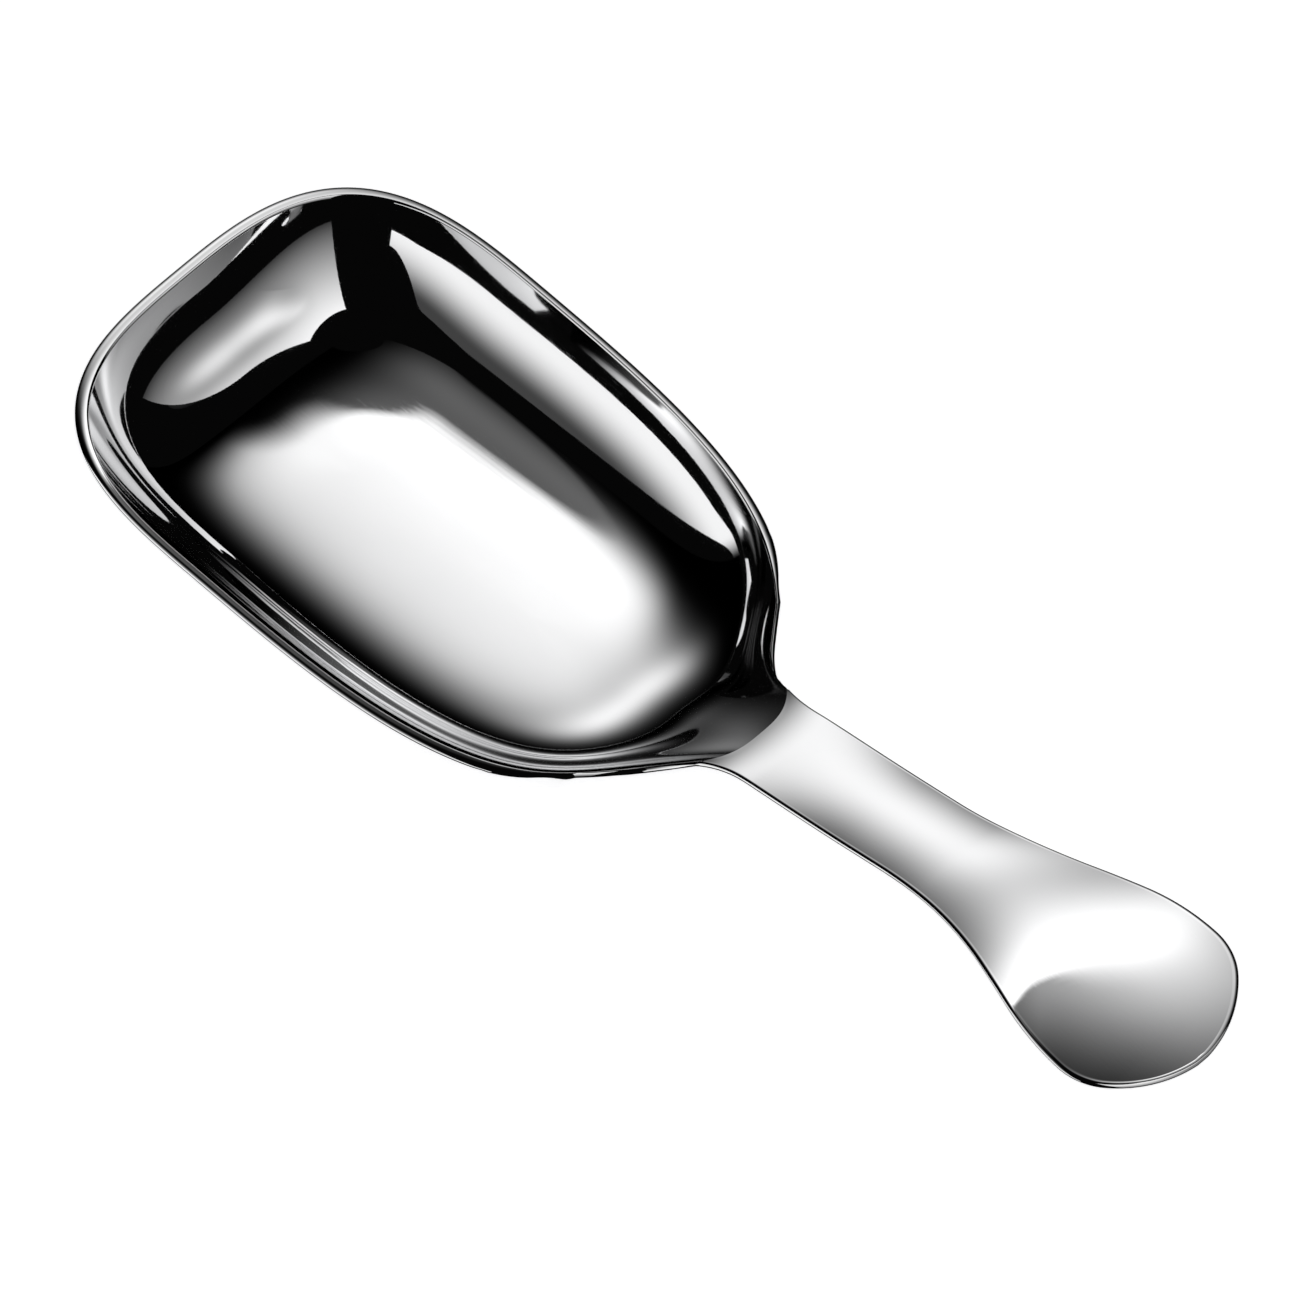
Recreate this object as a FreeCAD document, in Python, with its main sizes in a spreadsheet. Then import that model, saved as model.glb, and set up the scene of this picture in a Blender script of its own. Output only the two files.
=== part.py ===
import FreeCAD, Part
import math
import os
import Sketcher

# A small one-piece scoop of polished stainless steel, in millimetres: a shallow bowl with a rounded
# mouth, and a short flat handle that grows out of the bowl's rear rim.
# The scoop is drawn with its front lip at X = 0 and its rim at about Z = 0, and then moved so that
# the origin is near the middle of the flat that it rests on. +X runs from the bowl to the handle, +Z is up.

doc = FreeCAD.newDocument("ice_scoop")

# ---------------------------------------------------------------- driving dimensions

DIMENSIONS = [
    ("overall_length", 131.0),
    # the bowl
    ("bowl_length", 67.8),  # front lip to the rear of the mouth, without its nose
    ("bowl_width", 45.6),
    ("widest_at", 25.0),  # from the front lip
    ("mouth_power", 3.06),  # superellipse power of the mouth: between an ellipse and a rectangle
    ("nose_length", 3.35),  # the mouth reaches out to the handle by this much
    ("nose_half_width", 9.8),
    ("nose_power", 6.0),  # how closely the nose keeps to the rim
    ("hollow_depth", 9.9),
    ("wall_power", 5.0),  # the walls rise with this power of the distance from the bowl's middle
    ("dish", 0.25),  # the rest of the rise is the floor's: a shallow even dish takes this share of the depth
    ("lip", 1.0),  # from the hollow out to the cut edge, at the sides and the rear
    ("front_lip", 1.5),
    ("flat_depth", 11.0),  # front lip to the flat underneath
    ("round_depth", 12.0),  # how deep the outside would be without the flat
    ("wall_out", 0.8),  # how far the outside would stand out past the cut rim
    ("origin_at", 35.0),  # near the middle of the flat, from the front lip
    # the side view: rim and top of the handle
    ("rim_angle", 2.3),  # the rim sags towards the handle, in degrees
    ("rim_ends_at", 60.0),
    ("rise_radius", 24.0),
    ("rise_ends_at", 71.4),
    ("crest_radius", 37.0),
    ("crest_ends_at", 79.1),
    ("grip_ends_at", 100.0),
    ("droop_radius", 62.0),
    # the side view: underside of the handle, which grows out of the rim
    ("web_angle", 10.0),
    ("web_at", 63.3),  # where the underside leaves the rim line
    ("web_ends_at", 64.5),
    ("under_rise_radius", 14.3),
    ("under_rise_ends_at", 73.0),
    ("under_crest_radius", 39.7),
    ("under_crest_ends_at", 81.0),
    ("under_grip_ends_at", 100.5),
    ("under_droop_radius", 74.8),
    # the plan view: one side, from the bowl's rear corner to the tip
    ("corner_at", 57.0),
    ("corner_half_width", 19.15),
    ("corner_angle", 20.0),
    ("corner_radius", 15.0),
    ("corner_ends_at", 63.52),
    ("root_ends_at", 66.8),
    ("root_radius", 13.78),
    ("neck_at", 77.5),
    ("neck_ends_at", 95.0),
    ("waist_radius", 50.0),
    ("waist_ends_at", 110.3),
    ("flare_ends_at", 115.0),
    ("shoulder_radius", 25.0),
    ("paddle_at", 122.5),  # where the paddle is widest
    ("tip_corner_radius", 6.47),
    ("tip_starts_at", 126.96),
    ("tip_radius", 13.0),
    ("root_at", 61.0),  # the handle's side line trims the bowl from here on
]
sheet = doc.addObject("Spreadsheet::Sheet", "sizes")
for row, (alias, size) in enumerate(DIMENSIONS, start=1):
    sheet.set(f"A{row}", alias)
    sheet.set(f"B{row}", str(size))
    sheet.setAlias(f"B{row}", alias)
doc.recompute()


def size_of(alias):
    return float(sheet.get(alias))


SLACK = 20.0  # how far the trimming blocks stand clear of the scoop

# ---------------------------------------------------------------- the pressed bowl

FLOOR_SHARE = 0.15
TOP_SHARE = 1.2  # the bowl is drawn this far past its rim, and then trimmed to it
WALL_SHARES = [FLOOR_SHARE, 0.35, 0.5, 0.65, 0.8, 0.9, 1.0, 1.1, TOP_SHARE]
NOSE_EDGE_POWER = 3
RING_POINTS = 72


def ring(share, wall, front_wall, height):
    """The bowl's outline at one share of the way from its middle to the rim, a wall in from the cut edge.

    A ring is the mouth shrunk by as much in front and behind as at the sides, so all walls are as steep.
    height gives a point's Z from its X."""
    half_width = size_of("bowl_width") / 2 - wall
    inset = (1 - share) * half_width
    middle = size_of("widest_at")
    front = middle - front_wall - inset
    rear = size_of("bowl_length") - middle - wall - inset
    power = size_of("mouth_power")
    nose = size_of("nose_length") * share ** size_of("nose_power")
    points = []
    for number in range(RING_POINTS):
        angle = 2 * math.pi * number / RING_POINTS
        along, across = math.cos(angle), math.sin(angle)
        gauge = (abs(along) ** power + abs(across) ** power) ** (-1 / power)
        along, across = along * gauge, across * gauge
        y = share * half_width * across
        reach = front if along < 0 else rear
        edge = math.exp(-((abs(y) / size_of("nose_half_width")) ** NOSE_EDGE_POWER))
        x = middle + reach * along + nose * max(along, 0) ** 4 * edge
        points.append(FreeCAD.Vector(x, y, height(x)))
    curve = Part.BSplineCurve()
    curve.interpolate(points, PeriodicFlag=True)
    return Part.Wire(curve.toShape())


def bowl_blank(name, wall, front_wall, depth):
    """The bowl's outside or its hollow. Its rings lean with the rim, more so the further out they are."""
    power = size_of("wall_power")
    dish = size_of("dish")
    fall = math.tan(math.radians(size_of("rim_angle")))
    rings = []
    for share in WALL_SHARES:
        low = -depth * (1 - (1 - dish) * share**power - dish * share**2)
        rings.append(ring(share, wall, front_wall, lambda x: low - fall * x * share**2))
    blank = doc.addObject("Part::Feature", name)
    blank.Shape = Part.makeLoft(rings, True)
    return blank


def mouth_block():
    """Everything within the cut edge of the mouth."""
    deep = size_of("round_depth") + SLACK
    outline = ring(1.0, 0.0, 0.0, lambda x: -deep)
    block = doc.addObject("Part::Feature", "mouth")
    block.Shape = Part.Face(outline).extrude(FreeCAD.Vector(0, 0, 2 * deep))
    return block


# ---------------------------------------------------------------- sketches of tangent lines and arcs


def bind(sketch, constraint, name, expression):
    """Adds a dimension to a sketch and drives it from the sheet."""
    sketch.addConstraint(constraint)
    sketch.renameConstraint(sketch.ConstraintCount - 1, name)
    sketch.setExpression(f"Constraints.{name}", expression)


def draw_chain(sketch, start, heading, steps):
    """Draws lines and arcs that follow on smoothly. Returns the last end as (element, point), and its place.

    A step is (alias of its end's X, alias of its radius or None for a line, 1 for a left turn or -1 for right).
    """
    x, y = start
    slope = math.sin(math.radians(heading))
    joint = None
    for end_alias, radius_alias, turn in steps:
        end_x = size_of(end_alias)
        if radius_alias is None:
            end_y = y + (end_x - x) * slope / math.sqrt(1 - slope**2)
            shape = Part.LineSegment(FreeCAD.Vector(x, y, 0), FreeCAD.Vector(end_x, end_y, 0))
            element = sketch.addGeometry(shape)
            first, last = 1, 2
        else:
            radius = size_of(radius_alias)
            end_slope = max(slope + turn * (end_x - x) / radius, -1.0)
            cosine, end_cosine = math.sqrt(1 - slope**2), math.sqrt(1 - end_slope**2)
            centre = FreeCAD.Vector(x - turn * radius * slope, y + turn * radius * cosine, 0)
            end_y = centre.y - turn * radius * end_cosine
            angle = math.atan2(y - centre.y, x - centre.x)
            end_angle = math.atan2(end_y - centre.y, end_x - centre.x)
            circle = Part.Circle(centre, FreeCAD.Vector(0, 0, 1), radius)
            element = sketch.addGeometry(Part.ArcOfCircle(circle, *[angle, end_angle][::turn]))
            first, last = (1, 2) if turn > 0 else (2, 1)
            size = Sketcher.Constraint("Radius", element, radius)
            bind(sketch, size, radius_alias, f"sizes.{radius_alias}")
            slope = end_slope
        if joint is not None:
            sketch.addConstraint(Sketcher.Constraint("Tangent", joint[0], joint[1], element, first))
        reach = Sketcher.Constraint("DistanceX", -1, 1, element, last, end_x)
        bind(sketch, reach, end_alias, f"sizes.{end_alias}")
        joint = (element, last)
        x, y = end_x, end_y
    return joint, FreeCAD.Vector(x, y, 0)


def close_outline(sketch, joint, points, first):
    """Closes an outline with straight lines from a joint, through points, back to its first element."""
    for start, end in zip(points, points[1:]):
        line = sketch.addGeometry(Part.LineSegment(start, end))
        sketch.addConstraint(Sketcher.Constraint("Coincident", *joint, line, 1))
        upright = abs(start.x - end.x) < abs(start.y - end.y)
        sketch.addConstraint(Sketcher.Constraint("Vertical" if upright else "Horizontal", line))
        joint = (line, 2)
    sketch.addConstraint(Sketcher.Constraint("Coincident", *joint, *first))


def side_sketch(name, crossing, angle_alias, steps):
    """A side view: all below a line that slopes down through a point of the rim and then follows steps."""
    sketch = doc.addObject("Sketcher::SketchObject", name)
    sketch.Placement = FreeCAD.Placement(FreeCAD.Vector(), FreeCAD.Rotation(FreeCAD.Vector(1, 0, 0), 90))
    angle = size_of(angle_alias)
    fall = math.tan(math.radians(angle))
    start = FreeCAD.Vector(-SLACK, crossing.y + (crossing.x + SLACK) * fall, 0)
    joint, end = draw_chain(sketch, (start.x, start.y), -angle, steps)
    sketch.addConstraint(Sketcher.Constraint("DistanceX", 0, 1, -1, 1, SLACK))
    sketch.addConstraint(Sketcher.Constraint("DistanceY", -1, 1, 0, 1, start.y))
    bind(sketch, Sketcher.Constraint("Angle", 0, math.radians(-angle)), angle_alias, f"-sizes.{angle_alias}")
    low = -size_of("round_depth") - SLACK
    corners = [end, FreeCAD.Vector(end.x, low, 0), FreeCAD.Vector(start.x, low, 0), start]
    close_outline(sketch, joint, corners, (0, 1))
    sketch.addConstraint(Sketcher.Constraint("DistanceY", joint[0] + 1, 2, -1, 1, -low))
    return sketch


def top_sketch():
    """Everything below the rim and the top of the handle."""
    steps = [
        ("rim_ends_at", None, 0),
        ("rise_ends_at", "rise_radius", 1),
        ("crest_ends_at", "crest_radius", -1),
        ("grip_ends_at", None, 0),
        ("overall_length", "droop_radius", -1),
    ]
    return side_sketch("top_line", FreeCAD.Vector(0, 0, 0), "rim_angle", steps)


def underside_sketch():
    """Everything below the underside of the handle. Ahead of the handle it is above the rim."""
    steps = [
        ("web_ends_at", None, 0),
        ("under_rise_ends_at", "under_rise_radius", 1),
        ("under_crest_ends_at", "under_crest_radius", -1),
        ("under_grip_ends_at", None, 0),
        ("overall_length", "under_droop_radius", -1),
    ]
    leaves = size_of("web_at")
    crossing = FreeCAD.Vector(leaves, -leaves * math.tan(math.radians(size_of("rim_angle"))), 0)
    return side_sketch("underside_line", crossing, "web_angle", steps)


def plan_sketch():
    """The plan view of one side: the handle's edge, and a wide block round the bowl that leaves it whole."""
    sketch = doc.addObject("Sketcher::SketchObject", "half_plan")
    steps = [
        ("corner_ends_at", "corner_radius", -1),
        ("root_ends_at", None, 0),
        ("neck_at", "root_radius", 1),
        ("neck_ends_at", None, 0),
        ("waist_ends_at", "waist_radius", 1),
        ("flare_ends_at", None, 0),
        ("paddle_at", "shoulder_radius", -1),
        ("tip_starts_at", "tip_corner_radius", -1),
        ("overall_length", "tip_radius", -1),
    ]
    start = FreeCAD.Vector(size_of("corner_at"), size_of("corner_half_width"), 0)
    joint, _ = draw_chain(sketch, (start.x, start.y), -size_of("corner_angle"), steps)
    along = Sketcher.Constraint("DistanceX", -1, 1, 0, 2, start.x)
    aside = Sketcher.Constraint("DistanceY", -1, 1, 0, 2, start.y)
    bind(sketch, along, "corner_at", "sizes.corner_at")
    bind(sketch, aside, "corner_half_width", "sizes.corner_half_width")
    tip = size_of("overall_length")
    wide = size_of("bowl_width") / 2 + SLACK
    points = [(tip, 0), (-SLACK, 0), (-SLACK, wide), (start.x, wide), (start.x, start.y)]
    close_outline(sketch, joint, [FreeCAD.Vector(x, y, 0) for x, y in points], (0, 2))
    last = joint[0]
    sketch.addConstraint(Sketcher.Constraint("PointOnObject", last + 1, 2, -1))
    sketch.addConstraint(Sketcher.Constraint("DistanceX", last + 2, 2, -1, 1, SLACK))
    sketch.addConstraint(Sketcher.Constraint("DistanceY", -1, 1, last + 3, 2, wide))
    return sketch


# ---------------------------------------------------------------- blocks, and the scoop cut out of them


def extrude(name, sketch, direction, length):
    """A block as thick as length, centred on its sketch."""
    block = doc.addObject("Part::Extrusion", name)
    block.Base = sketch
    block.DirMode = "Custom"
    block.Dir = direction
    block.Solid = True
    block.Symmetric = True
    block.setExpression("LengthFwd", length)
    return block


def combine(kind, name, base, tool):
    """A two-way boolean: Part::Cut, Part::Fuse or Part::Common."""
    result = doc.addObject(kind, name)
    result.Base = base
    result.Tool = tool
    result.Refine = True
    return result


outside = bowl_blank("bowl_outside", -size_of("wall_out"), -size_of("wall_out"), size_of("round_depth"))
hollow = bowl_blank("bowl_hollow", size_of("lip"), size_of("front_lip"), size_of("hollow_depth"))
mouth = mouth_block()
top_line = top_sketch()
underside_line = underside_sketch()
half_plan = plan_sketch()

across = FreeCAD.Vector(0, 1, 0)
under_top = extrude("under_top", top_line, across, f"sizes.bowl_width + 2 * {SLACK}")
under_handle = extrude("under_handle", underside_line, across, f"sizes.bowl_width + 4 * {SLACK}")
near_plan = extrude("near_plan", half_plan, FreeCAD.Vector(0, 0, 1), f"4 * sizes.round_depth + 4 * {SLACK}")
far_plan = doc.addObject("Part::Mirroring", "far_plan")
far_plan.Source = near_plan
far_plan.Normal = across

root = doc.addObject("Part::Box", "root")
root.setExpression("Length", "sizes.overall_length - sizes.root_at")
root.setExpression("Width", f"sizes.bowl_width + 2 * {SLACK}")
root.setExpression("Height", f"2 * sizes.round_depth + 2 * {SLACK}")
root.setExpression("Placement.Base.x", "sizes.root_at")
root.setExpression("Placement.Base.y", f"-sizes.bowl_width / 2 - {SLACK}")
root.setExpression("Placement.Base.z", f"-sizes.round_depth - {SLACK}")

table = doc.addObject("Part::Box", "table")
table.setExpression("Length", f"sizes.overall_length + 2 * {SLACK}")
table.setExpression("Width", f"sizes.bowl_width + 2 * {SLACK}")
table.Height = SLACK
table.setExpression("Placement.Base.x", f"-{SLACK}")
table.setExpression("Placement.Base.y", f"-sizes.bowl_width / 2 - {SLACK}")
table.setExpression("Placement.Base.z", f"-sizes.flat_depth - {SLACK}")

plan = combine("Part::Fuse", "plan", near_plan, far_plan)
mouth_and_root = combine("Part::Fuse", "mouth_and_root", mouth, root)
bowl_in_mouth = combine("Part::Common", "bowl_in_mouth", outside, mouth_and_root)
bowl = combine("Part::Common", "bowl_under_rim", bowl_in_mouth, under_top)
bowl_on_table = combine("Part::Cut", "bowl_on_table", bowl, table)
handle = combine("Part::Cut", "handle_slab", under_top, under_handle)
joined = combine("Part::Fuse", "bowl_and_slab", bowl_on_table, handle)
trimmed = combine("Part::Common", "trimmed_to_plan", joined, plan)
scoop = combine("Part::Cut", "scoop", trimmed, hollow)
scoop.setExpression("Placement.Base.x", "-sizes.origin_at")
scoop.setExpression("Placement.Base.z", "sizes.flat_depth")
scoop.Label = "scoop"
doc.recompute()

# ---------------------------------------------------------------- checks and export

for item in doc.Objects:
    if "Invalid" in item.State or "Error" in item.State:
        raise RuntimeError(f"{item.Name} did not build: {item.State}")
if scoop.Shape.isNull() or not scoop.Shape.isValid() or len(scoop.Shape.Solids) != 1:
    raise RuntimeError("the scoop is not one valid solid")

os.makedirs("parts", exist_ok=True)
scoop.Shape.exportStep(f"parts/{scoop.Label}.step")
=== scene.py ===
"""A small mirror-polished steel scoop on a pale light table, lit by soft studio screens.

The CAD frame holds the scoop as one solid. This script replaces its mesh with a finer one, drawn from the
same dimensions, so that the polished surfaces reflect without facets. It adds the rounding of the sheet's
edges and a slight dome on the handle's top, which the solid doesn't have.
"""

import math

import bmesh
import bpy
import numpy as np
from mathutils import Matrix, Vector


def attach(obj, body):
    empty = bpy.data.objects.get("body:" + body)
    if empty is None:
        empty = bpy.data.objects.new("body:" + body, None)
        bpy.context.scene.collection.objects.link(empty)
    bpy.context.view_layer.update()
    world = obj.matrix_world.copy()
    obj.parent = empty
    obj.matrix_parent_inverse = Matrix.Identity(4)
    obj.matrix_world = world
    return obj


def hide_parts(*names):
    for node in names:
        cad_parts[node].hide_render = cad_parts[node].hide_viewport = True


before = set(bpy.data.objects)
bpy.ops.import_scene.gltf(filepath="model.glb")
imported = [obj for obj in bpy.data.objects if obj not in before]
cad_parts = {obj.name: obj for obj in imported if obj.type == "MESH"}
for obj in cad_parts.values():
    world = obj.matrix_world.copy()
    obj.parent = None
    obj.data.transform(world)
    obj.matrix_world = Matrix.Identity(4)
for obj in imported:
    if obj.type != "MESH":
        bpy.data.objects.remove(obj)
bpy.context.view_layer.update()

# ---------------------------------------------------------------- the scoop's dimensions, in millimetres
# Drawn with the front lip at x = 0 and the rim at about z = 0, and moved into the row frame at the end.

LENGTH = 131.0
ORIGIN_AT = 35.0  # near the middle of the flat underneath, from the front lip

# the bowl
BOWL_LENGTH = 67.8  # front lip to the rear of the mouth, without its nose
HALF_WIDTH = 22.8
WIDEST_AT = 25.0
MOUTH_POWER = 3.06  # superellipse power of the mouth: between an ellipse and a rectangle
NOSE = 3.35  # the mouth reaches out to the handle by this much
NOSE_HALF_WIDTH = 9.8
NOSE_POWER = 6  # how closely the nose keeps to the rim
NOSE_EDGE_POWER = 3
NOSE_TURN_POWER = 4  # how fast the nose fades from the rear round to the sides
HOLLOW_DEPTH = 9.9  # front lip to the bottom of the hollow
WALL_POWER = 5.0  # the walls rise with this power of the distance from the bowl's middle
DISH = 0.25  # the share of the depth that a shallow even dish takes; the steep walls take the rest
LIP = 1.0  # the top of the rim, from the hollow out to the cut edge, at the sides and the rear
FRONT_LIP = 1.5
WALL_OUT = 0.8  # how far the outside would stand out past the cut edge if it weren't cut
SHEET = 1.1  # between the bottom of the hollow and the flat underneath
FLAT_DEPTH = HOLLOW_DEPTH + SHEET
ROUND_DEPTH = 12.0  # how deep the outside would be without the flat
RIM_ANGLE = 2.3  # the rim sags towards the handle, in degrees
RIM_SLOPE = math.tan(math.radians(RIM_ANGLE))

# the root and the handle
CORNER_AT = 57.0  # the bowl's rear corner, where the handle's side line starts
CORNER_HALF_WIDTH = 19.15
ROOT_AT = 61.0  # from here on, the side line alone trims the outside of the bowl
WEB_AT = 63.3  # where the handle's underside leaves the rim line
EDGE_FULL_AT = 66.0  # the side line's rounded edge grows to its full size from the corner to here
CREASE_FROM = 70.5  # the crease between the hollow and the handle's top lies behind this
CREASE_FADE = 16.0  # the length of handle over which its rows lose the crease's curve
PADDLE_AT = 122.5  # where the handle's end is widest
HANDLE_DOME = 0.4  # how far the handle's top falls from its middle to its sides
DOME_STARTS_AT = 73.0
DOME_FULL_AT = 91.0
EDGE_ROUND = 0.6  # how far the sheet's rounded edge stands out
CORNERED_FROM = 0.1  # where the edge underneath stands out by this much, the round starts to become a corner
CORNERED_FULL_AT = 0.7
CORNER_PULL = 0.6  # the share of the way to the corner that the lower guide takes

# the mesh
CREASE_COLUMNS = 64
RIM_COLUMNS = 512
BOWL_ROWS = 140
HANDLE_ROWS = 240
EDGE_ROWS = 12
MERGE_DISTANCE = 1e-7  # in metres
EDGE_SHARES = (0.5, 1.3)  # every column of the bowl ends between these shares of the way out
EDGE_HALVINGS = 50  # how often that range is halved to find the end
CREASE_SAMPLES = 4000
RIM_SAMPLES = 8000
SIDE_TOLERANCE = 0.001


def smoothstep(low, high, x):
    """Goes smoothly from 0 at low to 1 at high."""
    share = np.clip((x - low) / (high - low), 0, 1)
    return share * share * (3 - 2 * share)


def chain(start, heading, steps):
    """A smooth run of lines and arcs, as a function that gives the height at x.

    A step is (its end's x, its radius or None for a line, 1 for a left turn or -1 for right).
    """
    pieces = []
    x, y = start
    slope = math.sin(math.radians(heading))
    for end_x, radius, turn in steps:
        pieces.append((x, y, slope, radius, turn))
        if radius is None:
            y += (end_x - x) * slope / math.sqrt(1 - slope**2)
        else:
            end_slope = max(slope + turn * (end_x - x) / radius, -1)
            y += turn * radius * (math.sqrt(1 - slope**2) - math.sqrt(1 - end_slope**2))
            slope = end_slope
        x = end_x
    starts = np.array([piece[0] for piece in pieces])

    def height(at):
        at = np.asarray(at, float)
        result = np.empty_like(at)
        index = np.clip(np.searchsorted(starts, at, side="right") - 1, 0, len(pieces) - 1)
        for number, (x0, y0, s0, radius, turn) in enumerate(pieces):
            here = index == number
            run = at[here] - x0
            if radius is None:
                result[here] = y0 + run * s0 / math.sqrt(1 - s0**2)
            else:
                s1 = np.clip(s0 + turn * run / radius, -1, 1)
                result[here] = y0 + turn * radius * (math.sqrt(1 - s0**2) - np.sqrt(1 - s1**2))
        return result

    return height


top_line = chain(
    (0.0, 0.0),
    -RIM_ANGLE,
    [(60.0, None, 0), (71.4, 24.0, 1), (79.1, 37.0, -1), (100.0, None, 0), (LENGTH, 62.0, -1)],
)
underside_line = chain(
    (WEB_AT, -WEB_AT * RIM_SLOPE),
    -10.0,
    [(64.5, None, 0), (73.0, 14.3, 1), (81.0, 39.7, -1), (100.5, None, 0), (LENGTH, 74.8, -1)],
)
side_line = chain(
    (CORNER_AT, CORNER_HALF_WIDTH),
    -20.0,
    [
        (63.52, 15.0, -1),
        (66.8, None, 0),
        (77.5, 13.78, 1),
        (95.0, None, 0),
        (110.3, 50.0, 1),
        (115.0, None, 0),
        (PADDLE_AT, 25.0, -1),
        (126.96, 6.47, -1),
        (LENGTH, 13.0, -1),
    ],
)


class Skin:
    """One face of the sheet: the inside and top, or the outside and underside."""

    def __init__(self, inside):
        self.inside = inside
        self.wall = LIP if inside else -WALL_OUT
        self.front_wall = FRONT_LIP if inside else -WALL_OUT
        self.half = HALF_WIDTH - self.wall
        self.depth = HOLLOW_DEPTH if inside else ROUND_DEPTH
        self.handle_line = top_line if inside else underside_line
        self.crease_from = CREASE_FROM if inside else ROOT_AT

    def at(self, share, across, along):
        """Points at a share of the way out along columns whose unit directions are (along, across)."""
        inset = (1 - share) * self.half
        front = WIDEST_AT - self.front_wall - inset
        rear = BOWL_LENGTH - WIDEST_AT - self.wall - inset
        y = share * self.half * across
        nose = NOSE * share**NOSE_POWER * np.maximum(along, 0) ** NOSE_TURN_POWER
        nose = nose * np.exp(-((np.abs(y) / NOSE_HALF_WIDTH) ** NOSE_EDGE_POWER))
        x = WIDEST_AT + np.where(along < 0, front, rear) * along + nose
        rise = (1 - DISH) * share**WALL_POWER + DISH * share**2
        z = -self.depth * (1 - rise) - RIM_SLOPE * x * share**2
        if not self.inside:
            z = np.maximum(z, -FLAT_DEPTH)
        return x, y, z

    def edge_share(self, across, along):
        """How far out each column runs: to the rim, to the handle, or to the side of the root."""
        low, high = (np.full_like(along, share) for share in EDGE_SHARES)
        for _ in range(EDGE_HALVINGS):
            middle = (low + high) / 2
            x, y, z = self.at(middle, across, along)
            limit = top_line(x)
            limit = np.where(x < WEB_AT, limit, np.minimum(limit, self.handle_line(x)))
            inside = (z < limit) & (np.abs(y) < self.side_limit(x))
            inside &= self.inside | (x > ROOT_AT) | (middle * self.half < HALF_WIDTH)
            low, high = np.where(inside, middle, low), np.where(inside, high, middle)
        return low

    def side_limit(self, x):
        """Half the width that the bowl's faces may have."""
        edge = EDGE_ROUND * smoothstep(CORNER_AT, EDGE_FULL_AT, x)
        return np.where(x > CORNER_AT, side_line(x) - edge, HALF_WIDTH)

    def columns(self):
        """Unit directions of the bowl's columns: first across the crease, then on round the rim."""
        angle = np.linspace(0, math.pi / 2, CREASE_SAMPLES)
        along, across = unit_ring(angle)
        share = self.edge_share(across, along)
        x, y, _ = self.at(share, across, along)
        past_crease = (y >= self.side_limit(x) - SIDE_TOLERANCE) | (x < self.crease_from)
        crease_end = angle[np.argmax(past_crease)]
        crease = np.linspace(-crease_end, crease_end, CREASE_COLUMNS + 1)
        fine = np.linspace(crease_end, 2 * math.pi - crease_end, RIM_SAMPLES)
        along, across = unit_ring(fine)
        x, y, _ = self.at(self.edge_share(across, along), across, along)
        run = np.concatenate([[0], np.cumsum(np.hypot(np.diff(x), np.diff(y)))])
        rim = np.interp(np.linspace(0, run[-1], RIM_COLUMNS + 1), run, fine)
        return unit_ring(np.concatenate([crease, rim[1:-1]]))

    def bowl(self):
        """Rows of points from the bowl's middle out to its edge: an array of (row, column, xyz)."""
        along, across = self.columns()
        share = self.edge_share(across, along)
        rows = [self.at(share * row / BOWL_ROWS, across, along) for row in range(BOWL_ROWS + 1)]
        return np.array(rows).transpose(0, 2, 1)

    def handle(self, crease):
        """Rows of points from the crease to the tip: an array of (row, column, xyz)."""
        inset_tip = LENGTH - EDGE_ROUND
        start = crease[:, 0].max()
        straight = np.linspace(start, PADDLE_AT, HANDLE_ROWS * 3 // 4, endpoint=False)
        quarter = np.linspace(0, math.pi / 2, HANDLE_ROWS - len(straight) + 1)
        stations = np.concatenate([straight, PADDLE_AT + (inset_tip - PADDLE_AT) * np.sin(quarter)])
        share = crease[:, 1] / half_side(crease[:, 0])
        rows = [crease]
        for station in stations[1:]:
            fade = 1 - smoothstep(start, start + CREASE_FADE, station)
            x = station + (crease[:, 0] - start) * fade
            z = self.handle_line(x) - self.dome(x, share * half_side(x) / half_side(np.minimum(x, PADDLE_AT)))
            rows.append(np.stack([x, share * half_side(x), z], axis=1))
        return np.array(rows)

    def dome(self, x, share):
        """How far the handle's face lies under its middle, at a share of the way out to its side."""
        return HANDLE_DOME * smoothstep(DOME_STARTS_AT, DOME_FULL_AT, x) * share**2 if self.inside else 0 * x


def unit_ring(angle):
    """Points of a rounded outline with unit half-width and unit reach."""
    along, across = np.cos(angle), np.sin(angle)
    gauge = (np.abs(along) ** MOUTH_POWER + np.abs(across) ** MOUTH_POWER) ** (-1 / MOUTH_POWER)
    return along * gauge, across * gauge


def half_side(x):
    """Half the width of the handle's flat faces, inside the rounded edge."""
    shrink = (LENGTH - PADDLE_AT) / (LENGTH - PADDLE_AT - EDGE_ROUND)
    stretched = np.minimum(PADDLE_AT + (x - PADDLE_AT) * shrink, LENGTH)
    narrower = 1 - EDGE_ROUND / side_line(PADDLE_AT)
    return np.where(x > PADDLE_AT, side_line(stretched) * narrower, side_line(x) - EDGE_ROUND)


def grid_faces(index, closed):
    """Four-sided faces over a grid of vertex numbers."""
    other = np.roll(index, -1, axis=1) if closed else index[:, 1:]
    near = index if closed else index[:, :-1]
    return np.stack([near[:-1], other[:-1], other[1:], near[1:]], axis=-1).reshape(-1, 4).tolist()


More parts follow.
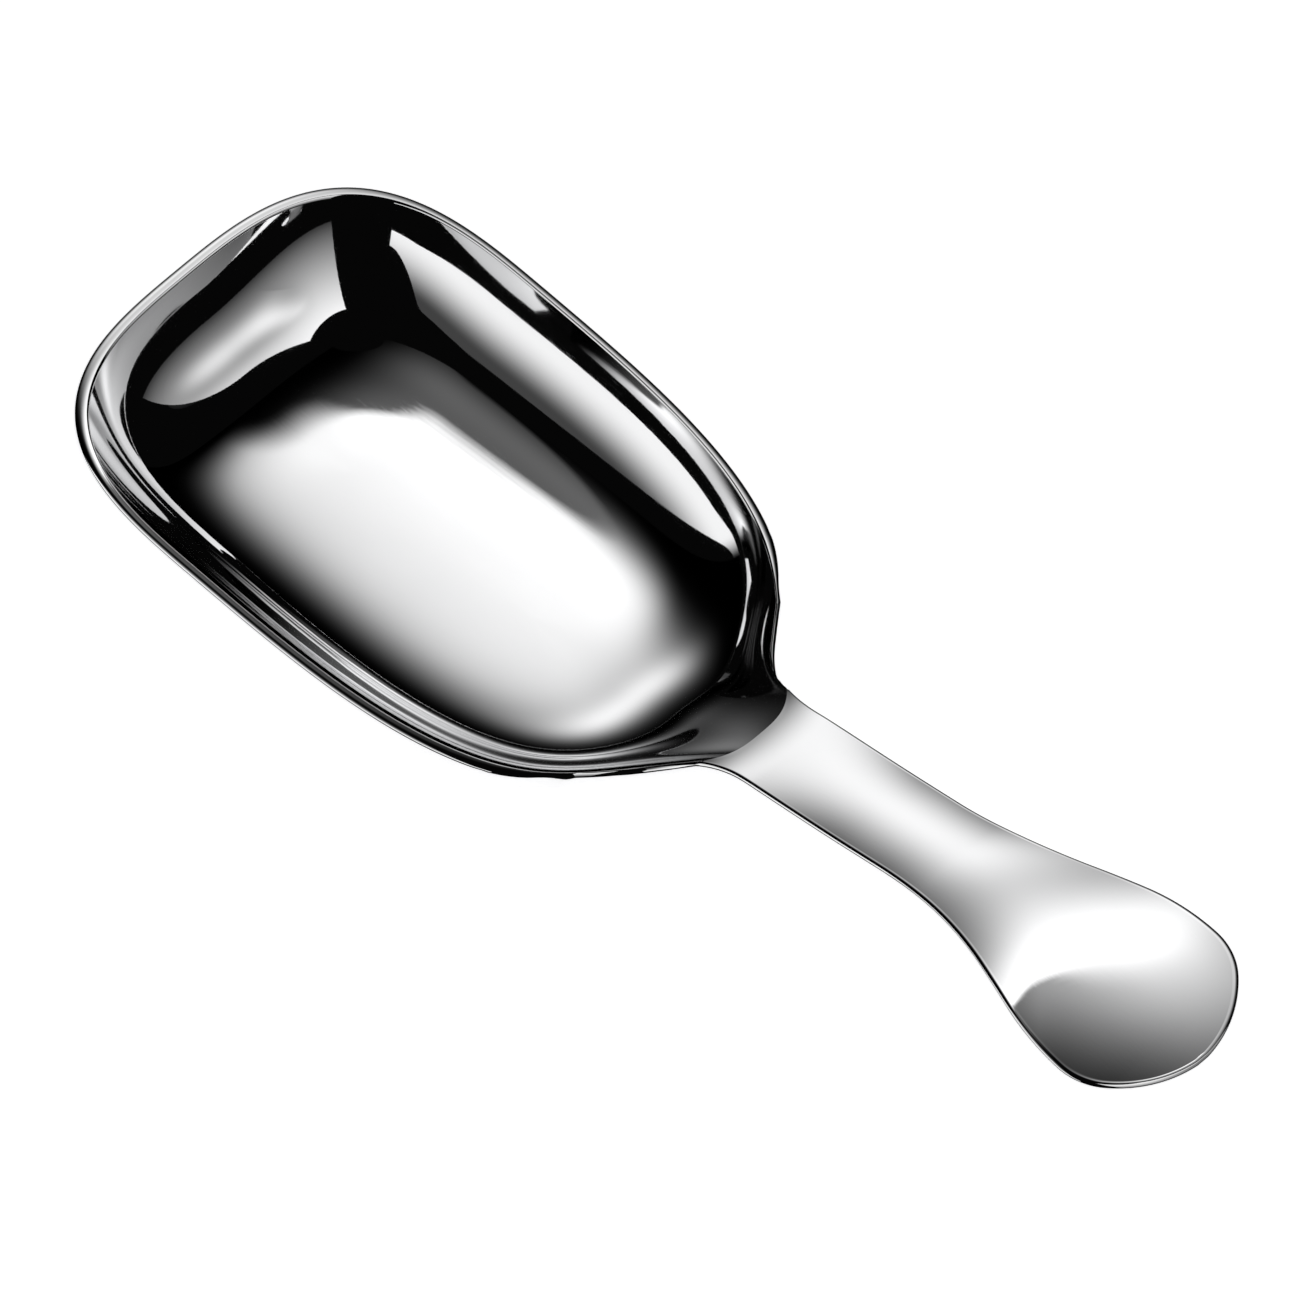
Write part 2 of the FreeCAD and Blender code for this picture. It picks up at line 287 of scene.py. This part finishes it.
def skin_grids(skin, first):
    """A skin's points, and its vertex numbers in the bowl and in the handle."""
    bowl = skin.bowl()
    handle = skin.handle(bowl[-1, : CREASE_COLUMNS + 1])
    bowl_index = first + np.arange(bowl.shape[0] * bowl.shape[1]).reshape(bowl.shape[:2])
    more = first + bowl_index.size + np.arange(handle[1:, :, 0].size).reshape(handle[1:, :, 0].shape)
    handle_index = np.vstack([bowl_index[-1, : CREASE_COLUMNS + 1], more])
    points = np.concatenate([bowl.reshape(-1, 3), handle[1:].reshape(-1, 3)])
    return points, bowl_index, handle_index


def outline(bowl, handle):
    """Vertex numbers round a skin's edge, and of each one's neighbour on the inside."""
    rim = np.append(np.arange(CREASE_COLUMNS, bowl.shape[1]), 0)
    middle = CREASE_COLUMNS // 2  # the tip's last row is a single point
    edge = [bowl[-1, rim], handle[1:-1, 0], handle[-1:, middle], handle[-2:0:-1, -1]]
    within = [bowl[-2, rim], handle[1:-1, 1], handle[-2:-1, middle], handle[-2:0:-1, -2]]
    return np.concatenate(edge), np.concatenate(within)


def edge_strip(points, top, under, within):
    """Rows of points that round the sheet's edge off, between the edges of the two skins.

    Each is a cubic curve: half a round on the handle, where one edge is above the other, and a rounded corner
    on the bowl's rim, where the edge underneath stands further out.
    """
    start, end = points[top], points[under]
    run = np.roll(start + end, -1, axis=0) - np.roll(start + end, 1, axis=0)
    out = np.cross(run, [0, 0, 1])
    out /= np.linalg.norm(out, axis=1, keepdims=True)
    away = start - points[within]
    out *= np.sign(np.sum(out * away, axis=1, keepdims=True))
    reach = np.sum((end - start) * out, axis=1, keepdims=True)
    cornered = smoothstep(CORNERED_FROM, CORNERED_FULL_AT, reach)
    swell = out * EDGE_ROUND * 4 / 3 * (1 - cornered)
    corner = out * reach * cornered
    first_guide = start + corner + swell
    second_guide = end + swell + (start + corner - end) * cornered * CORNER_PULL
    rows = []
    for row in range(1, EDGE_ROWS):
        share = (1 - math.cos(math.pi * row / EDGE_ROWS)) / 2
        rest = 1 - share
        curve = rest**3 * start + 3 * rest**2 * share * first_guide
        rows.append(curve + 3 * rest * share**2 * second_guide + share**3 * end)
    return np.array(rows)


def scoop_mesh():
    """The scoop's points, its faces, and the vertex numbers along the crease."""
    top_points, top_bowl, top_handle = skin_grids(Skin(True), 0)
    under_points, under_bowl, under_handle = skin_grids(Skin(False), len(top_points))
    points = np.concatenate([top_points, under_points])
    top_edge, top_within = outline(top_bowl, top_handle)
    under_edge, _ = outline(under_bowl, under_handle)
    strip = edge_strip(points, top_edge, under_edge, top_within)
    strip_index = len(points) + np.arange(strip.shape[0] * strip.shape[1]).reshape(strip.shape[:2])
    strip_index = np.vstack([top_edge, strip_index, under_edge])
    points = np.concatenate([points, strip.reshape(-1, 3)])
    faces = grid_faces(top_bowl, True) + grid_faces(under_bowl, True)
    faces += grid_faces(top_handle, False) + grid_faces(under_handle, False) + grid_faces(strip_index, True)
    return points, faces, top_handle[0]


# ---------------------------------------------------------------- the scoop in Blender


def polished_steel():
    """Mirror-polished stainless steel, with faint polishing marks along the scoop and slight smears."""
    material = bpy.data.materials.new("polished_steel")
    material.use_nodes = True
    nodes, links = material.node_tree.nodes, material.node_tree.links
    shader = nodes["Principled BSDF"]
    shader.inputs["Metallic"].default_value = 1
    place = nodes.new("ShaderNodeTexCoord")

    def noise(scale, stretch, detail):
        """Noise whose features are about 1/scale metres across, and longer along X."""
        mapping = nodes.new("ShaderNodeMapping")
        mapping.inputs["Scale"].default_value = (1 / stretch, 1, 1)
        pattern = nodes.new("ShaderNodeTexNoise")
        pattern.inputs["Scale"].default_value = scale
        pattern.inputs["Detail"].default_value = detail
        links.new(place.outputs["Object"], mapping.inputs["Vector"])
        links.new(mapping.outputs["Vector"], pattern.inputs["Vector"])
        return pattern.outputs["Fac"]

    def remap(value, from_range, to_range):
        node = nodes.new("ShaderNodeMapRange")
        node.inputs["From Min"].default_value, node.inputs["From Max"].default_value = from_range
        node.inputs["To Min"].default_value, node.inputs["To Max"].default_value = to_range
        links.new(value, node.inputs["Value"])
        return node.outputs["Result"]

    def add(first, second):
        node = nodes.new("ShaderNodeMath")
        links.new(first, node.inputs[0])
        links.new(second, node.inputs[1])
        return node.outputs["Value"]

    smears = noise(90, 2, 4)
    marks = noise(5000, 12, 3)
    shader_roughness = add(remap(smears, (0.4, 0.75), (0.015, 0.05)), remap(marks, (0.58, 0.8), (0, 0.06)))
    links.new(shader_roughness, shader.inputs["Roughness"])
    tint = nodes.new("ShaderNodeMix")
    tint.data_type = "RGBA"
    tint.inputs["A"].default_value = (0.895, 0.895, 0.9, 1)
    tint.inputs["B"].default_value = (0.85, 0.852, 0.858, 1)
    links.new(remap(smears, (0.3, 0.7), (0, 1)), tint.inputs["Factor"])
    links.new(tint.outputs["Result"], shader.inputs["Base Color"])
    bump = nodes.new("ShaderNodeBump")
    bump.inputs["Strength"].default_value = 0.02
    bump.inputs["Distance"].default_value = 0.00002
    links.new(marks, bump.inputs["Height"])
    links.new(bump.outputs["Normal"], shader.inputs["Normal"])
    return material


def to_row_frame(points):
    """From the drawing's millimetres to the row frame's metres."""
    return (np.asarray(points) + [-ORIGIN_AT, 0, FLAT_DEPTH]) / 1000


def add_scoop():
    """The finer mesh, in place of the CAD solid's. Only the crease at the root is sharp."""
    points, faces, crease = scoop_mesh()
    moved = to_row_frame(points)
    mesh = bpy.data.meshes.new("scoop_polished")
    mesh.from_pydata(moved.tolist(), [], faces)
    shape = bmesh.new()
    shape.from_mesh(mesh)
    shape.verts.ensure_lookup_table()
    for left, right in zip(crease, crease[1:]):
        shape.edges.get((shape.verts[left], shape.verts[right])).smooth = False
    bmesh.ops.remove_doubles(shape, verts=shape.verts, dist=MERGE_DISTANCE)
    bmesh.ops.recalc_face_normals(shape, faces=shape.faces)
    shape.to_mesh(mesh)
    shape.free()
    mesh.shade_smooth()
    scoop = bpy.data.objects.new("scoop_polished", mesh)
    bpy.context.collection.objects.link(scoop)
    scoop.data.materials.append(polished_steel())
    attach(scoop, "root")
    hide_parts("scoop")


# ---------------------------------------------------------------- the table and the studio
# The screens stand where the polished bowl and handle mirror them towards the camera.

TABLE_SIZE = 16.0
TABLE_GLOW = 0.9  # a light table: it is lit from below too
TABLE_GAP = 0.0002  # below the flat that the scoop rests on

PANEL_RADIUS = 12.0  # outside the camera, so that no screen hides the scoop from any side
PANEL_STEPS = 96
CARD_RADIUS = 0.1  # so close that it shows in the handle and hardly in the bowl
ROOM_COLOUR = (0.002, 0.002, 0.002, 1)


def add_floor():
    """A pale table that glows by itself, so that the scoop throws no shadow."""
    material = bpy.data.materials.new("pale_table")
    material.use_nodes = True
    shader = material.node_tree.nodes["Principled BSDF"]
    shader.inputs["Base Color"].default_value = (0.9, 0.9, 0.9, 1)
    shader.inputs["Roughness"].default_value = 0.8
    shader.inputs["Emission Color"].default_value = (1, 1, 1, 1)
    shader.inputs["Emission Strength"].default_value = TABLE_GLOW
    bpy.ops.mesh.primitive_plane_add(size=TABLE_SIZE, location=(0, 0, -TABLE_GAP))
    floor = bpy.context.object
    floor.name = "table"
    floor.data.materials.append(material)


def sky_point(azimuth, elevation, radius):
    """A point over the table. Azimuth 0 is over the handle, 90 over the far side, and 180 over the front."""
    azimuth, elevation = math.radians(azimuth), math.radians(elevation)
    level = radius * math.cos(elevation)
    return level * math.cos(azimuth), level * math.sin(azimuth), radius * math.sin(elevation)


def add_panel(name, azimuths, glow, low_edge, high_edge, radius=PANEL_RADIUS, clear=False):
    """A curved lit screen. glow gives its brightness from (azimuth, elevation); its edges give elevations."""
    verts, faces, lights = [], [], []
    for row in range(PANEL_STEPS + 1):
        for column in range(PANEL_STEPS + 1):
            azimuth = azimuths[0] + (azimuths[1] - azimuths[0]) * column / PANEL_STEPS
            low, high = low_edge(azimuth), high_edge(azimuth)
            elevation = low + (high - low) * row / PANEL_STEPS
            verts.append(sky_point(azimuth, elevation, radius))
            lights.append(float(glow(azimuth, elevation)))
    wide = PANEL_STEPS + 1
    for row in range(PANEL_STEPS):
        for column in range(PANEL_STEPS):
            corner = row * wide + column
            faces.append((corner, corner + 1, corner + wide + 1, corner + wide))
    mesh = bpy.data.meshes.new(name)
    mesh.from_pydata(verts, [], faces)
    lit = mesh.attributes.new("glow", "FLOAT", "POINT")
    lit.data.foreach_set("value", lights)
    panel = bpy.data.objects.new(name, mesh)
    bpy.context.collection.objects.link(panel)
    panel.data.materials.append(panel_light(name, clear))
    return panel


def soft_spot(azimuth, elevation, middle_azimuth, middle_elevation, wide, tall):
    """Falls off smoothly from 1 at its middle. The widths are angles as seen from the scoop."""
    across = (azimuth - middle_azimuth) * math.cos(math.radians(middle_elevation)) / wide
    up = (elevation - middle_elevation) / tall
    return math.exp(-(across**2 + up**2) / 2)


def panel_light(name, clear):
    """Glows as strongly as the mesh's "glow" says. A clear panel also lets light from behind through."""
    material = bpy.data.materials.new(name)
    material.use_nodes = True
    nodes, links = material.node_tree.nodes, material.node_tree.links
    nodes.clear()
    glow = nodes.new("ShaderNodeAttribute")
    glow.attribute_name = "glow"
    light = nodes.new("ShaderNodeEmission")
    output = nodes.new("ShaderNodeOutputMaterial")
    links.new(glow.outputs["Fac"], light.inputs["Strength"])
    surface = light.outputs["Emission"]
    if clear:
        sheet = nodes.new("ShaderNodeBsdfTransparent")
        both = nodes.new("ShaderNodeAddShader")
        links.new(surface, both.inputs[0])
        links.new(sheet.outputs["BSDF"], both.inputs[1])
        surface = both.outputs["Shader"]
    links.new(surface, output.inputs["Surface"])
    return material


def add_card(glow):
    """A small clear lit card close over the handle's end."""
    card = add_panel("clear_card", (48, 168), glow, lambda azimuth: 30, lambda azimuth: 84, CARD_RADIUS, True)
    card.location = to_row_frame([PADDLE_AT, 0, top_line(PADDLE_AT)])


def add_studio():
    """Three screens with dark gaps between them, a card over the handle, and a dark room behind."""

    def rear_glow(azimuth, elevation):
        """Brighter upwards, with one dim spot."""
        return 0.04 + 0.0175 * (elevation - 15) - 0.4 * soft_spot(azimuth, elevation, 30, 46, 10, 9)

    def near_glow(azimuth, elevation):
        """Brightest low down."""
        return smoothstep(-147, -140, azimuth) * (0.06 + 0.98 * (1 - smoothstep(15, 48, elevation)))

    def near_top(azimuth):
        return 12 + 41 * smoothstep(-146, -126, azimuth) - 28 * smoothstep(-106, -70, azimuth)

    def near_low(azimuth):
        return 7.5 + 3 * smoothstep(-142, -132, azimuth) + 6 * smoothstep(-115, -82, azimuth)

    def far_glow(azimuth, elevation):
        """Three bright spots that end at a soft upper edge, with two faint ones above it."""
        over_bowl = 0.95 * soft_spot(azimuth, elevation, 136, 57, 11 if azimuth < 136 else 9, 11)
        over_edge = 0.7 * soft_spot(azimuth, elevation, 153, 62, 8, 4)
        over_grip = soft_spot(azimuth, elevation, 148, 33, 9.5, 7.5)
        start = smoothstep(90, 118, azimuth)
        edge = 61.3 + 3 * smoothstep(140, 156, azimuth)
        soft = 0.6 + 3 * (1 - smoothstep(120, 138, azimuth))
        above = smoothstep(edge - soft, edge + soft, elevation)
        haze = 0.14 * soft_spot(azimuth, elevation, 178, 65, 9, 6)
        haze += 0.1 * soft_spot(azimuth, elevation, 143, 60, 7, 4)
        return start * (over_bowl + over_edge + over_grip) * (1 - above) + haze * above

    def card_glow(azimuth, elevation):
        return 0.8 * soft_spot(azimuth, elevation, 110, 57, 15, 9) * (1 - smoothstep(148, 168, azimuth))

    add_panel("rear_screen", (-29, 50), rear_glow, lambda azimuth: 15, lambda azimuth: 73)
    add_panel("near_screen", (-147, -70), near_glow, near_low, near_top)
    add_panel("far_screen", (88, 213), far_glow, lambda azimuth: 8, lambda azimuth: 80)
    add_card(card_glow)
    world = bpy.data.worlds.new("studio")
    world.use_nodes = True
    world.node_tree.nodes["Background"].inputs["Color"].default_value = ROOM_COLOUR
    bpy.context.scene.world = world


# ---------------------------------------------------------------- the camera

CAMERA_TARGET = Vector(to_row_frame([52.76, 8.4, -16.8]))
TO_CAMERA = Vector((0.398, -0.403, 0.824)).normalized()
CAMERA_DISTANCE = 5.0  # far off, so that the view is nearly parallel
VIEW_WIDTH = 0.11841  # across the picture at the target
SENSOR_WIDTH = 36  # in millimetres
CLIP_END = 50  # beyond the screens


def add_camera():
    """Looks down on the scoop from its near side and the handle's end."""
    data = bpy.data.cameras.new("camera")
    data.sensor_width = SENSOR_WIDTH
    data.lens = data.sensor_width * CAMERA_DISTANCE / VIEW_WIDTH
    data.clip_end = CLIP_END
    camera = bpy.data.objects.new("camera", data)
    camera.location = CAMERA_TARGET + TO_CAMERA * CAMERA_DISTANCE
    camera.rotation_euler = TO_CAMERA.to_track_quat("Z", "Y").to_euler()
    bpy.context.collection.objects.link(camera)
    bpy.context.scene.camera = camera
    bpy.context.scene.view_settings.view_transform = "Standard"  # white stays white


add_scoop()
add_floor()
add_studio()
add_camera()
